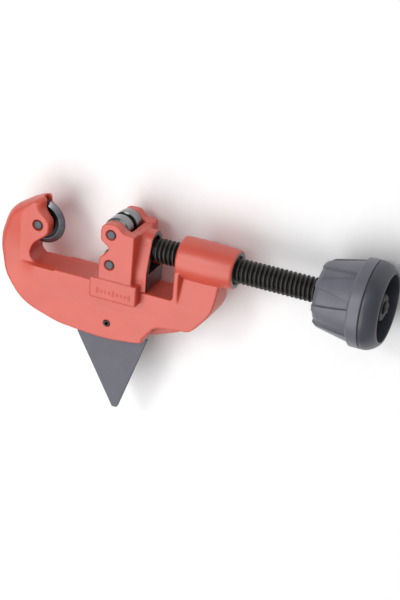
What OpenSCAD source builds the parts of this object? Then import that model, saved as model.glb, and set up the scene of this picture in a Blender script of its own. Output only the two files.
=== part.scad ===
// Tube and pipe cutter: a cast C-frame holds the cutting wheel, and a feed screw with a knob pushes a
// carriage with two rollers along the frame's rail. A triangular reamer folds out of the frame.
// +X runs along the feed screw towards the knob, +Y is the way the jaw opens, +Z is the side normal.

/* [Cutting wheel] */
// Diameter of the cutting wheel
wheel_d = 20.8; // [18:0.2:21]
// Width of the cutting wheel's hub
wheel_w = 3.6; // [3:0.1:3.7]
// Diameter of the wheel's axle
wheel_pin_d = 4; // [3:0.1:4.5]

/* [Rollers] */
// Distance from the wheel's axle to the rollers' axles along the screw
roller_x = 38.5; // [37:0.5:40]
// Distance of each roller's axle from the screw's axis
roller_y = 7.1; // [6.7:0.1:7.4]
// Diameter of a roller
roller_d = 11.8; // [11:0.2:12.4]
// Length of a roller
roller_len = 14; // [12:0.5:14.2]
// Diameter of the rollers' pins
roller_pin_d = 4; // [3:0.1:4.5]

/* [Frame] */
// Height of the screw's axis above the rail
rail_drop = 18; // [17.8:0.1:18.4]
// Width of the hook and of the rail's narrow end
hook_w = 12.2; // [11:0.2:13]
// Width of the rail
rail_w = 17.2; // [16:0.2:17.4]
// Largest diameter of the screw's boss
boss_d = 18.9; // [17:0.1:20]
// Width of the slot that the reamer folds into
reamer_slot_w = 2.7; // [2.4:0.1:3.2]

/* [Feed screw] */
// Crest diameter of the feed screw
screw_d = 11; // [9:0.5:11.6]
// Pitch of the feed screw's thread
pitch = 2; // [1.5:0.5:2.5]

/* [Knob] */
// Diameter of the knob's end ring
knob_d = 38.2; // [34:0.2:42]
// Number of wedge-shaped flutes round the knob
flutes = 8; // [5:1:9]

/* [Reamer] */
// Distance from the reamer's pivot to its tip
reamer_reach = 45.5; // [42:0.5:46]
// Thickness of the reamer blade
reamer_t = 1.9; // [1.4:0.1:2]

/* [Hidden] */
$fn = 96;
eps = 0.01;
run_gap = 0.05;                          // radial clearance of a running fit

// Places along the screw, measured from the wheel's axle
foot_x0 = 29.8;                          // carriage foot, wheel side
skirt_x1 = 52.4;                         // end of the skirts
cheek_x1 = 49.5;                         // back of the carriage's cheeks
pocket_x1 = 45.4;                        // back wall of the rollers' pocket
wall_x1 = 50.8;                          // floor of the hollow collar
collar_x1 = 54.8;                        // open end of the collar
web_x0 = 67.3;                           // face of the web towards the carriage
web_x1 = 87.2;                           // back of the web under the boss
boss_x1 = 93.4;                          // end of the boss towards the knob
knob_x0 = 131.2;                         // small end of the knob
step_x = 148.4;                          // step up to the knob's rim band
seam_x = 153.3;                          // joint between the knob and its end ring
knob_x1 = 160.3;                         // end face of the knob

// Heights, measured from the screw's axis
rail_y = -rail_drop;
foot_top_y = -14.1;
skirt_y0 = -23.8;
step_y = -29;                            // lower edge of the rail's side band
flank_w = rail_w + 0.8;                  // width of the frame below that edge

// Widths
wheel_slot_w = 4;
wheel_gap = 0.45;                        // round the wheel's rim
pocket_w = roller_len + 0.5;
cheek_w = 24.8;
skirt_w = 26.4;
slide_gap = 0.3;                         // side clearance of the carriage's skirts on the rail
collar_w = 17.6;
collar_t = 2.3;

// Reamer
pivot_x = 37.4;
pivot_y = -37;
reamer_lean = 3.4;                       // degrees that the opened reamer leans off square
reamer_pin_d = 3.2;

// Spindle
nose_d = 6.4;
shoulder_d = 8.8;
washer_t = 1;
nose_x0 = 45.7;
ring_t = 0.8;
ring_x0 = 46.1;
thread_x0 = 55.2;
root_d = screw_d - 1.1 * pitch;

// Row frame: the middle of the whole tool in X and Y, and the lowest point of the knob in Z
hook_x0 = -20.2;
tip_y = pivot_y - reamer_reach * cos(reamer_lean);
centre_x = (hook_x0 + knob_x1) / 2;
centre_y = (tip_y + knob_d / 2) / 2;
axis_z = knob_d / 2;

paint = "#d2503f";
paint_dark = "#c0402f";
steel = "#9a9da3";
dark_steel = "#565b66";
black_steel = "#33312f";
plastic = "#5d606c";

// Unit vector along v
function unit(v) = v / norm(v);

// Arc of radius r that rounds the corner b between a and c; the radius shrinks where the sides are short
function corner(a, b, c, r_max, n = 6) =
    let (u = unit(a - b), w = unit(c - b), half = acos(u * w) / 2,
        r = min(r_max, 0.48 * min(norm(a - b), norm(c - b)) * tan(half)),
        centre = b + unit(u + w) * r / sin(half),
        start = b + u * r / tan(half) - centre, end = b + w * r / tan(half) - centre,
        a0 = atan2(start.y, start.x), turn = (atan2(end.y, end.x) - a0 + 540) % 360 - 180)
    [for (i = [0:n]) centre + r * [cos(a0 + turn * i / n), sin(a0 + turn * i / n)]];

// Outline from corners [x, y, radius], where radius 0 keeps the corner sharp
function rounded(p) =
    [for (i = [0:len(p) - 1])
        let (a = p[(i + len(p) - 1) % len(p)], b = p[i], c = p[(i + 1) % len(p)])
        for (q = b[2] > 0 ? corner([a.x, a.y], [b.x, b.y], [c.x, c.y], b[2]) : [[b.x, b.y]]) q];

// Plate of the given width, centred on the tool's mid-plane
module plate(outline, w) {
    translate([0, 0, -w / 2]) linear_extrude(w) polygon(outline);
}

// Plate between two heights
module slab(outline, z0, z1) {
    translate([0, 0, z0]) linear_extrude(z1 - z0) polygon(outline);
}

// Solid of revolution about the screw's axis, from a profile of [radius, x]
module on_axis(profile) {
    rotate([0, 90, 0]) rotate_extrude() polygon(profile);
}

// Rod along Z
module rod(x, y, d, z0, z1) {
    translate([x, y, z0]) cylinder(d = d, h = z1 - z0);
}

// Rod along the screw's axis
module axis_rod(d, x0, x1) {
    translate([x0, 0, 0]) rotate([0, 90, 0]) cylinder(d = d, h = x1 - x0);
}

// Bar with a constant section [y, z] along X
module bar(section, x0, x1) {
    translate([x0, 0, 0]) rotate([90, 0, 90]) linear_extrude(x1 - x0) polygon(section);
}

// Moves a sub-part from the wheel's axle to the row frame
module place() {
    translate([-centre_x, -centre_y, axis_z]) children();
}

// ---- Frame -------------------------------------------------------------------------------------

// Spine's underside, from the hook's back to the thumb scoop and up to the boss
belly = [[hook_x0, -9, 12], [hook_x0, -15, 16], [-16.6, -26.6, 16], [-4.4, -38.6, 30], [13, -43.7, 40],
    [36, -45.3, 60], [53, -43.4, 30], [68.2, -37.5, 20], [78.6, -29.6, 14], [86.2, -20.2, 14]];

// Hook's edge round the wheel's axle and down to the rail
hook_edge = [[-1, rail_y, 2], [-3.8, -15, 5], [-2.3, -9.4, 8], [5.4, -3.8, 4.5], [6.4, 2.8, 5],
    [1.2, 7.2, 4], [1.6, 11.7, 0.6], [0.4, 12.9, 1], [-6.6, 9.5, 10], [-15.8, 3, 10]];

frame_outline = rounded(concat(belly, [[web_x1, -12, 10], [web_x1, -5, 0], [web_x0, -5, 0],
    [web_x0, rail_y, 1.5]], hook_edge));

rail_outline = rounded(concat([[-12.6, -24, 6], [-4.4, -35, 20]], [for (i = [4:9]) belly[i]],
    [[86.4, -19.2, 3], [70, -18.6, 0], [web_x0, rail_y, 0], [10.6, rail_y, 0], [8.8, -22, 3], [-4, -22.5, 8]]));

flank_outline = rounded([[-1, step_y, 3], [0, -37.8, 8], [13, -43.3, 40], [36, -44.9, 60], [53, -43, 30],
    [68.2, -37.1, 20], [73.6, -33.6, 4], [72, step_y, 4]]);

flange_outline = [[web_x0, -6], [web_x0, -20], [web_x0 + 2.6, -20], [web_x0 + 2.8, -6]];

boss_profile = [[0, web_x0], [boss_d / 2 - 0.7, web_x0], [boss_d / 2 - 0.25, web_x0 + 0.6],
    [boss_d / 2 - 0.08, web_x0 + 4], [boss_d / 2, web_x0 + 9], [boss_d / 2 - 0.1, web_x0 + 15],
    [boss_d / 2 - 0.5, web_x0 + 20.5], [boss_d / 2 - 1.1, boss_x1 - 1.6], [boss_d / 2 - 2, boss_x1],
    [0, boss_x1]];

// Slot for the folded blade: open below, closed by the rail's deck and the foot of the web
deck_t = 2;
slot_top = rail_y - deck_t;
slot_outline = rounded([[17.5, -50, 0], [17.5, -34, 6], [26, slot_top, 6], [50, slot_top, 4],
    [85, slot_top - 7.1, 0], [96, slot_top - 7.1, 0], [96, -50, 0]]);

scoop_outline = rounded([[54.8, -52, 0], [54.8, -40.6, 0], [60, -33.4, 5], [66, -32.4, 8],
    [75.6, -31.2, 0], [80, -38, 0], [80, -52, 0]]);

module web() {
    intersection() {
        plate(rounded(concat([[68, -30, 0]], [for (i = [8:9]) belly[i]],
            [[web_x1, -12, 10], [web_x1, -4, 0], [68, -4, 0]])), 2 * 9);
        bar([[-30, -8.6], [-20, -8.6], [-7, -4.8], [0, -4.4], [0, 4.4], [-7, 4.8], [-20, 8.6],
            [-30, 8.6]], 67, 95);
    }
}

module frame_body() {
    hook_half = hook_w / 2;
    color(paint) place() difference() {
        union() {
            difference() {
                plate(frame_outline, hook_w);
                translate([web_x0 + 1, -17, -10]) cube([30, 14, 20]);
            }
            plate(rail_outline, rail_w);
            plate(flank_outline, flank_w);
            plate(flange_outline, rail_w);
            web();
            on_axis(boss_profile);
        }
        // Wheel's slot, closed over the top and open at the nose, with the axle hole countersunk at the
        // front and counterbored at the back
        rod(0, 0, wheel_d + 2 * wheel_gap, -wheel_slot_w / 2, wheel_slot_w / 2);
        translate([0, -wheel_d / 2 - 1.2, -wheel_slot_w / 2])
            cube([wheel_d, wheel_d + 14, wheel_slot_w]);
        rod(0, 0, wheel_pin_d, -hook_half - 1, hook_half + 1);
        rod(0, 0, wheel_pin_d + 0.9, hook_half - 0.5, hook_half + 1);
        rod(0, 0, wheel_pin_d + 2.6, -hook_half - 1, -hook_half + 1.2);
        // Screw's hole, with a lead-in at each end
        axis_rod(screw_d + 0.2, web_x0 - 1, boss_x1 + 1);
        on_axis([[0, boss_x1 - 0.9], [screw_d / 2 + 0.1, boss_x1 - 0.9],
            [screw_d / 2 + 1, boss_x1 + eps], [0, boss_x1 + eps]]);
        on_axis([[0, web_x0 + 0.9], [screw_d / 2 + 0.1, web_x0 + 0.9],
            [screw_d / 2 + 1, web_x0 - eps], [0, web_x0 - eps]]);
        // Reamer's slot, pivot hole and thumb scoop
        slab(slot_outline, -reamer_slot_w / 2, reamer_slot_w / 2);
        rod(pivot_x, pivot_y, reamer_pin_d, -10, 10);
        slab(scoop_outline, 0, 10);
    }
}

// ---- Cutting wheel -----------------------------------------------------------------------------

module cutting_wheel() {
    r = wheel_d / 2;
    half = wheel_w / 2;
    bore = wheel_pin_d / 2 + run_gap;
    color(dark_steel) place() rotate_extrude()
        polygon([[bore, -half], [4.2, -half], [4.5, -half + 0.3], [6.3, -1.05], [6.6, -1.5], [7, -1.5],
            [r - 0.05, -0.08], [r, 0], [r - 0.05, 0.08], [7, 1.5], [6.6, 1.5], [6.3, 1.05],
            [4.5, half - 0.3], [4.2, half], [bore, half]]);
}

module wheel_pin() {
    face = hook_w / 2;
    color(steel) place() difference() {
        rotate_extrude() polygon([[0, -face + 0.1], [wheel_pin_d / 2 + 1.2, -face + 0.1],
            [wheel_pin_d / 2 + 1.2, -face + 1.2], [wheel_pin_d / 2, -face + 1.2],
            [wheel_pin_d / 2, face - 0.1], [1.75, face + 0.15], [1.2, face + 0.35],
            [0.6, face + 0.45], [0, face + 0.48]]);
        translate([-5, -0.4, -face - 1]) cube([10, 0.8, 1.7]);
    }
}

// ---- Carriage ----------------------------------------------------------------------------------

cheek_outline = rounded([[33.4, foot_top_y - 1, 0], [33.4, -4.6, 3], [36.2, -2.2, 1.5], [38.2, 0.6, 1.2],
    [33.6, 3.8, 2.6], [33.4, 11.8, 4.6], [41, 12.2, 3.6], [44.4, 8.9, 3], [cheek_x1, 8.6, 0.8],
    [cheek_x1, foot_top_y - 1, 0]]);

// Arch round the screw's nose: a round crown of radius r at height y, and legs w apart below y_leg
function arch(r, y, w, y_leg) =
    let (d = [w / 2, y_leg - y], base = atan2(d.y, d.x), a0 = base + acos(r / norm(d)))
    concat([[foot_top_y - 4, w / 2], [y_leg, w / 2]],
        [for (i = [0:12]) let (a = a0 + (180 - 2 * a0) * i / 12) [y + r * sin(a), r * cos(a)]],
        [[y_leg, -w / 2], [foot_top_y - 4, -w / 2]]);

module carriage() {
    deck_y = rail_y + 0.25;
    skirt_z = rail_w / 2 + slide_gap;
    color(paint_dark) place() difference() {
        union() {
            slab(cheek_outline, pocket_w / 2, cheek_w / 2);
            slab(cheek_outline, -cheek_w / 2, -pocket_w / 2);
            translate([pocket_x1, foot_top_y - 1, -cheek_w / 2]) cube([cheek_x1 - pocket_x1, 23.1, cheek_w]);
            // Foot over the rail, with a skirt down each side
            translate([foot_x0, deck_y, -skirt_w / 2])
                cube([skirt_x1 - foot_x0, foot_top_y - deck_y, skirt_w]);
            for (z = [skirt_z, -skirt_w / 2])
                translate([foot_x0, skirt_y0, z])
                    cube([skirt_x1 - foot_x0, deck_y - skirt_y0, skirt_w / 2 - skirt_z]);
            // Arched collar
            intersection() {
                bar(arch(5.5, 3.2, collar_w, -9), cheek_x1 - 1, collar_x1);
                translate([0, deck_y, -20]) cube([100, 60, 40]);
            }
        }
        bar(arch(5.5 - collar_t, 3.2, collar_w - 2 * collar_t, -10), wall_x1, collar_x1 + 1);
        axis_rod(2 * 5.15, wall_x1, collar_x1 + 1);
        // Screw's nose and the recess for its washer and ring
        axis_rod(nose_d + 2 * run_gap, pocket_x1 - 1, wall_x1 + 1);
        axis_rod(9.6, pocket_x1 - 1, pocket_x1 + 2.1);
        // Rollers' pins, with a shallow ring round each end
        for (y = [-roller_y, roller_y]) {
            rod(roller_x, y, roller_pin_d, -15, 15);
            for (z = [-cheek_w / 2 - 1, cheek_w / 2 - 0.35])
                rod(roller_x, y, roller_pin_d + 0.7, z, z + 1.35);
        }
    }
}

module roller(y) {
    r = roller_d / 2;
    h = roller_len / 2;
    bore = roller_pin_d / 2 + run_gap;
    color(steel) place() translate([roller_x, y, 0]) rotate_extrude()
        polygon([[bore, -h], [r - 0.6, -h], [r, -h + 0.6], [r, -1.5], [r - 0.9, -1.2], [r - 0.9, 1.2],
            [r, 1.5], [r, h - 0.6], [r - 0.6, h], [bore, h]]);
}

module roller_upper() { roller(roller_y); }
module roller_lower() { roller(-roller_y); }

module roller_pin(y) {
    h = cheek_w / 2 - 0.05;
    r = roller_pin_d / 2;
    color(steel) place() translate([roller_x, y, 0]) rotate_extrude()
        polygon([[0, -h], [r - 0.3, -h], [r, -h + 0.3], [r, h - 0.3], [r - 0.3, h], [0, h]]);
}

module roller_pin_upper() { roller_pin(roller_y); }
module roller_pin_lower() { roller_pin(-roller_y); }

// ---- Feed screw --------------------------------------------------------------------------------

thread_n = floor((knob_x0 - thread_x0) / pitch);

// One thread ridge of the profile: root, flank, crest, flank
function ridge(x) = [[root_d / 2, x], [root_d / 2, x + 0.25 * pitch], [screw_d / 2, x + 0.42 * pitch],
    [screw_d / 2, x + 0.68 * pitch], [root_d / 2, x + 0.85 * pitch]];

module spindle() {
    thread_x1 = thread_x0 + thread_n * pitch;
    groove_x1 = ring_x0 + ring_t + 0.05;
    color(black_steel) place() on_axis(concat(
        [[0, nose_x0], [nose_d / 2 - 0.4, nose_x0], [nose_d / 2 - 0.4, ring_x0 - 0.05], [2.6, ring_x0 - 0.05],
            [2.6, groove_x1], [nose_d / 2, groove_x1], [nose_d / 2, wall_x1 + washer_t + run_gap],
            [shoulder_d / 2, wall_x1 + washer_t + run_gap], [shoulder_d / 2, thread_x0]],
        [for (i = [0:thread_n - 1]) for (p = ridge(thread_x0 + i * pitch)) p],
        [[root_d / 2, thread_x1], [root_d / 2, knob_x0], [shaft_d / 2, knob_x0], [shaft_d / 2, hub_x1 - 0.6],
            [screw_hole_d / 2, hub_x1 - 0.6], [screw_hole_d / 2, hub_x1 - 9], [0, hub_x1 - 9]]));
}

module washer(od, id, x0, x1) {
    color(steel) place() on_axis([[id / 2, x0], [od / 2, x0], [od / 2, x1], [id / 2, x1]]);
}

module thrust_washer() { washer(10, nose_d + 2 * run_gap, wall_x1, wall_x1 + washer_t); }
module nose_washer() { washer(8.6, nose_d + 2 * run_gap, ring_x0 + ring_t + 0.1, pocket_x1 + 2.1); }

// Snap ring: a flat C in the nose's groove
module retaining_ring() {
    color(dark_steel) place() difference() {
        on_axis([[2.6, ring_x0], [3.9, ring_x0], [3.9, ring_x0 + ring_t], [2.6, ring_x0 + ring_t]]);
        translate([ring_x0 - 1, 1, -1.3]) cube([ring_t + 2, 4, 2.6]);
    }
}

// ---- Knob --------------------------------------------------------------------------------------

knob_r0 = 14.6;                          // small end, before its rounded corner
knob_r1 = 17.9;                          // cone at the step
rim_r = 14.4;                            // mouth of the end recess
hub_x1 = 158.6;
hub_d = 11.4;
shaft_d = 7;
screw_hole_d = 3;
floor_x = 148;                           // floor of the end recess
flute_angle = 15.5;                      // first flute's turn from the side normal

module knob_flute() {
    slope = atan((knob_r1 - knob_r0) / (step_x - knob_x0));
    wide = knob_r0 * tan(17);
    narrow = knob_r1 * tan(5.5);
    translate([knob_x0, 0, knob_r0 - 0.9]) rotate([0, -slope, 0])
        linear_extrude(8) polygon([[-2, -wide], [step_x - knob_x0 - 0.6, -narrow],
            [step_x - knob_x0 - 0.6, narrow], [-2, wide]]);
}

module knob_body() {
    seat = 1.6;                          // depth of the end ring's seat
    color(plastic) place() difference() {
        on_axis([[shaft_d / 2, knob_x0], [knob_r0 - 1.4, knob_x0], [knob_r0 - 0.4, knob_x0 + 0.5],
            [knob_r0 + 0.2, knob_x0 + 1.8], [knob_r1 - 0.1, step_x - 0.4], [knob_d / 2 - 0.4, step_x],
            [knob_d / 2, step_x + 0.5], [knob_d / 2, seam_x - 0.1], [knob_d / 2 - 0.15, seam_x],
            [rim_r + seat, seam_x], [rim_r + seat, seam_x - 1.5], [rim_r, seam_x - 1.5],
            [rim_r - 0.5, floor_x], [hub_d / 2 + 0.3, floor_x], [hub_d / 2, hub_x1 - 0.4],
            [hub_d / 2 - 0.4, hub_x1], [3.4, hub_x1], [3.4, hub_x1 - 0.6], [shaft_d / 2, hub_x1 - 0.6]]);
        for (i = [0:flutes - 1]) rotate([-flute_angle + i * 360 / flutes, 0, 0]) knob_flute();
    }
}

module knob_end_ring() {
    r = knob_d / 2;
    color(plastic) place() on_axis([[rim_r, seam_x - 1.5], [rim_r + 1.6, seam_x - 1.5],
        [rim_r + 1.6, seam_x], [r - 0.15, seam_x], [r, seam_x + 0.15], [r - 0.1, seam_x + 1.6],
        [r - 0.6, seam_x + 3.2], [r - 1.5, seam_x + 4.8], [r - 2.7, seam_x + 6.2],
        [r - 3.7, knob_x1 - 0.1], [rim_r + 0.4, knob_x1], [rim_r, knob_x1 - 0.5]]);
}

module knob_washer() { washer(6.6, 3.3, hub_x1 - 0.6, hub_x1); }

module knob_screw() {
    head_r = 2.7;
    color(steel) place() difference() {
        on_axis([[0, hub_x1 - 8.5], [screw_hole_d / 2, hub_x1 - 8.5], [screw_hole_d / 2, hub_x1],
            [head_r, hub_x1], [head_r, hub_x1 + 0.7], [head_r - 0.7, hub_x1 + 1.3],
            [head_r - 1.6, hub_x1 + 1.55], [0, hub_x1 + 1.6]]);
        for (a = [0, 90]) rotate([a, 0, 0]) translate([hub_x1 + 0.7, -1.4, -0.3]) cube([2, 2.8, 0.6]);
    }
}

// ---- Reamer ------------------------------------------------------------------------------------

// Triangle with rounded shoulders, the far one larger, since it stays out as the finger tab
blade_outline = rounded([[-1.3, -reamer_reach, 0], [1.3, -reamer_reach, 0], [15.9, -8.8, 1.8],
    [12.4, -4.2, 3], [4.6, 4.6, 4], [-4.6, 4.6, 4], [-14.5, -4.6, 3], [-18.9, -10.4, 1.8]]);

module reamer_blade() {
    color(steel) place() translate([pivot_x, pivot_y, 0]) rotate(reamer_lean)
        difference() {
            plate(blade_outline, reamer_t);
            cylinder(d = reamer_pin_d + 2 * run_gap, h = 10, center = true);
        }
}

module reamer_pin() {
    h = flank_w / 2;
    color(steel) place() translate([pivot_x, pivot_y, 0]) rotate_extrude()
        polygon([[0.85, -h], [1.4, -h], [reamer_pin_d / 2, -h + 0.3], [reamer_pin_d / 2, h - 0.3],
            [1.4, h + 0.1], [0.85, h + 0.1]]);
}

module reamer_washer(z0) {
    color(steel) place() translate([pivot_x, pivot_y, z0]) difference() {
        cylinder(d = 7.6, h = 0.3);
        translate([0, 0, -1]) cylinder(d = reamer_pin_d + 2 * run_gap, h = 3);
    }
}

module reamer_washer_front() { reamer_washer(reamer_slot_w / 2 - 0.35); }
module reamer_washer_rear() { reamer_washer(-reamer_slot_w / 2 + 0.05); }

frame_body();
cutting_wheel();
wheel_pin();
carriage();
roller_upper();
roller_lower();
roller_pin_upper();
roller_pin_lower();
spindle();
thrust_washer();
nose_washer();
retaining_ring();
knob_body();
knob_end_ring();
knob_washer();
knob_screw();
reamer_blade();
reamer_pin();
reamer_washer_front();
reamer_washer_rear();
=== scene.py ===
import math

import bmesh
import bpy
import numpy as np
from mathutils import Euler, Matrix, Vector
from mathutils.geometry import tessellate_polygon


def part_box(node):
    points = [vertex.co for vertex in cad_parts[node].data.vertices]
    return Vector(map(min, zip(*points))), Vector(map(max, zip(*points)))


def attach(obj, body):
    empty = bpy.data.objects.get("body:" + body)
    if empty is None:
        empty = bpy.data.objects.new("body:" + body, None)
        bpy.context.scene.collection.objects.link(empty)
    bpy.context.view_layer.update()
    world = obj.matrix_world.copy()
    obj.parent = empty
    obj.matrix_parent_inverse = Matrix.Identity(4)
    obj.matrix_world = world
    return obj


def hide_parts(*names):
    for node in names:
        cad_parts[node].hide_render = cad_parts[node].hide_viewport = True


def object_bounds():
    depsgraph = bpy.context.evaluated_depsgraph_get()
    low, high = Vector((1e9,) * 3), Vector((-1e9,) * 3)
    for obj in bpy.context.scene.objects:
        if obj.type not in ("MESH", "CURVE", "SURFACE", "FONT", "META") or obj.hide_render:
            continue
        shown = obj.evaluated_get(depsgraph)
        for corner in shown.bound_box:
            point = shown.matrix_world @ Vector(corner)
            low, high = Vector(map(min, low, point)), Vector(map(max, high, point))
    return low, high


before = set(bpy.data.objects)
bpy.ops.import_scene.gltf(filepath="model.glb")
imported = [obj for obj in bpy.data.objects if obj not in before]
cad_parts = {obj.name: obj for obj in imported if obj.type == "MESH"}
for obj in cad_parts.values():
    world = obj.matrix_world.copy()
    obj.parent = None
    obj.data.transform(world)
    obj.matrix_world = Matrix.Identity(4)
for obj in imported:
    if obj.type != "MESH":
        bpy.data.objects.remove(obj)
cad_lo, cad_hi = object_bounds()

# Shapes are in millimetres from the wheel's axle on the screw's axis, the design's own frame. Sizes in
# materials, lights, floor and camera are in metres.
MM = 0.001
wheel_lo, wheel_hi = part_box("cutting_wheel")
AXLE = (wheel_lo + wheel_hi) / 2


def span(node, axis):
    """Lowest and highest place of a CAD node along an axis, in millimetres from the axle."""
    lo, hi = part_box(node)
    return (lo[axis] - AXLE[axis]) / MM, (hi[axis] - AXLE[axis]) / MM


# ---- Driving places, read from the frame ---------------------------------------------------------
HOOK_X0 = span("frame_body", 0)[0]
BOSS_X1 = span("frame_body", 0)[1]
FLANK_HALF = span("frame_body", 2)[1] - 0.05
HOOK_HALF = span("wheel_pin", 2)[1] - 0.48
WHEEL_R = span("cutting_wheel", 0)[1]
WHEEL_HALF = span("cutting_wheel", 2)[1]
CHEEK_HALF = span("roller_pin_upper", 2)[1] + 0.05
FOOT_X0, COLLAR_X1 = span("carriage", 0)
SKIRT_Y0, CHEEK_TOP = span("carriage", 1)
SKIRT_HALF = span("carriage", 2)[1]
ROLLER_X = sum(span("roller_upper", 0)) / 2
ROLLER_Y = sum(span("roller_upper", 1)) / 2
ROLLER_R = span("roller_upper", 0)[1] - ROLLER_X
ROLLER_HALF = span("roller_upper", 2)[1]
NOSE_X0, SHAFT_X1 = span("spindle", 0)
SCREW_R = span("spindle", 1)[1]
KNOB_X0, HUB_X1 = span("knob_body", 0)
KNOB_R = span("knob_body", 1)[1]
SEAM_X = span("knob_end_ring", 0)[0] + 1.5
KNOB_X1 = span("knob_end_ring", 0)[1]
PIVOT_X = sum(span("reamer_pin", 0)) / 2
PIVOT_Y = sum(span("reamer_pin", 1)) / 2
BLADE_HALF = span("reamer_blade", 2)[1]
TIP_Y = span("reamer_blade", 1)[0]
RAIL_Y = -18
RAIL_HALF = 8.6
STEP_Y = -29
WEB_X0 = 67.3
WEB_X1 = 87.2
BOSS_R = 9.45
PITCH = 2
BORE_R = 2.05
PIVOT_BORE_R = 1.65


# ---- Node helpers --------------------------------------------------------------------------------
def add(tree, kind, values=None, **settings):
    """A shader node with its settings, and its sockets filled from values: numbers, or outputs to link."""
    made = tree.nodes.new(kind)
    for key, value in settings.items():
        setattr(made, key, value)
    for key, value in (values or {}).items():
        if isinstance(value, bpy.types.NodeSocket):
            tree.links.new(value, made.inputs[key])
        else:
            made.inputs[key].default_value = value
    return made


def ramp(tree, factor, stops):
    """A colour ramp through (place, colour) stops."""
    made = add(tree, "ShaderNodeValToRGB", {"Fac": factor})
    points = made.color_ramp.elements
    while len(points) < len(stops):
        points.new(0.5)
    for point, (place, colour) in zip(points, stops):
        point.position = place
        point.color = (*colour, 1)
    return made.outputs["Color"]


def grey(tree, factor, low, high, start=0.0, end=1.0):
    """factor from start to end mapped to low to high, held at both ends."""
    made = add(tree, "ShaderNodeMapRange", {"Value": factor, "From Min": start, "From Max": end,
        "To Min": low, "To Max": high})
    return made.outputs["Result"]


def noise(tree, where, scale, detail=3.0, roughness=0.5):
    made = add(tree, "ShaderNodeTexNoise", {"Vector": where, "Scale": scale, "Detail": detail,
        "Roughness": roughness})
    return made.outputs["Fac"]


def times(tree, a, b):
    return add(tree, "ShaderNodeMath", {0: a, 1: b}, operation="MULTIPLY").outputs[0]


def plus(tree, a, b):
    return add(tree, "ShaderNodeMath", {0: a, 1: b}, operation="ADD").outputs[0]


def blend(tree, share, one, other):
    """Colour that goes from one to the other as share rises from 0 to 1."""
    # A Mix node takes its colours at sockets 6 and 7 and gives one at output 2
    return add(tree, "ShaderNodeMix", {0: share, 6: one, 7: other}, data_type="RGBA").outputs[2]


def tint(colour, *by):
    """The colour made lighter or darker by one factor, or by one for each channel."""
    factors = by if len(by) == 3 else by * 3
    return tuple(min(1, c * f) for c, f in zip(colour, factors))


def bump(tree, height, distance, strength=1.0, under=None):
    values = {"Height": height, "Distance": distance, "Strength": strength}
    if under is not None:
        values["Normal"] = under
    return add(tree, "ShaderNodeBump", values).outputs["Normal"]


def shader(name, values):
    """A new material with its Principled node, and the piece's own coordinates in metres."""
    made = bpy.data.materials.new(name)
    made.use_nodes = True
    tree = made.node_tree
    tree.nodes.clear()
    surface = add(tree, "ShaderNodeBsdfPrincipled", values)
    output = add(tree, "ShaderNodeOutputMaterial")
    tree.links.new(surface.outputs["BSDF"], output.inputs["Surface"])
    where = add(tree, "ShaderNodeTexCoord").outputs["Object"]
    return made, tree, surface, where


def turned(tree, where, centre, axis):
    """(distance from an axis, place along it), in metres, for tool marks that run round a turned piece."""
    here = add(tree, "ShaderNodeVectorMath", {0: where, 1: tuple(centre)}, operation="SUBTRACT").outputs[0]
    parts = add(tree, "ShaderNodeSeparateXYZ", {0: here})
    across = [parts.outputs[i] for i in range(3) if i != axis]
    total = plus(tree, times(tree, across[0], across[0]), times(tree, across[1], across[1]))
    radius = add(tree, "ShaderNodeMath", {0: total, 1: 0.5}, operation="POWER").outputs[0]
    return radius, parts.outputs[axis]


# ---- Materials -----------------------------------------------------------------------------------
def enamel(name, colour):
    """Satin enamel on a zinc casting: fine orange peel, ripples, painted shade in corners and painted
    highlights on edges.
    """
    made, tree, surface, where = shader(name, {"Specular IOR Level": 0.85})
    broad = noise(tree, where, 70, 2)
    fine = noise(tree, where, 1500, 3, 0.6)
    ripple = noise(tree, where, 330, 2)
    base = ramp(tree, broad, [(0.3, tint(colour, 0.93)), (0.7, tint(colour, 1.05))])
    bend = add(tree, "ShaderNodeNewGeometry").outputs["Pointiness"]
    # Low pointiness darkens hollow corners and creases: painted shade
    corner = grey(tree, bend, 0.0, 1.0, 0.49, 0.43)
    # High pointiness lightens thin edges, broken up by noise: a painted highlight
    edge = grey(tree, bend, 0.0, 1.0, 0.52, 0.57)
    painted_edge_highlight = times(tree, edge, grey(tree, fine, 0.3, 1.0, 0.35, 0.65))
    shade = blend(tree, times(tree, corner, 0.55), base, (*tint(colour, 0.45, 0.3, 0.3), 1))
    lit = blend(tree, times(tree, painted_edge_highlight, 0.5), shade, (*tint(colour, 1.15, 2.2, 2.4), 1))
    tree.links.new(lit, surface.inputs["Base Color"])
    tree.links.new(grey(tree, fine, 0.36, 0.47), surface.inputs["Roughness"])
    slow = bump(tree, ripple, 0.00006)
    tree.links.new(bump(tree, fine, 0.00003, 0.8, slow), surface.inputs["Normal"])
    return made


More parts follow.
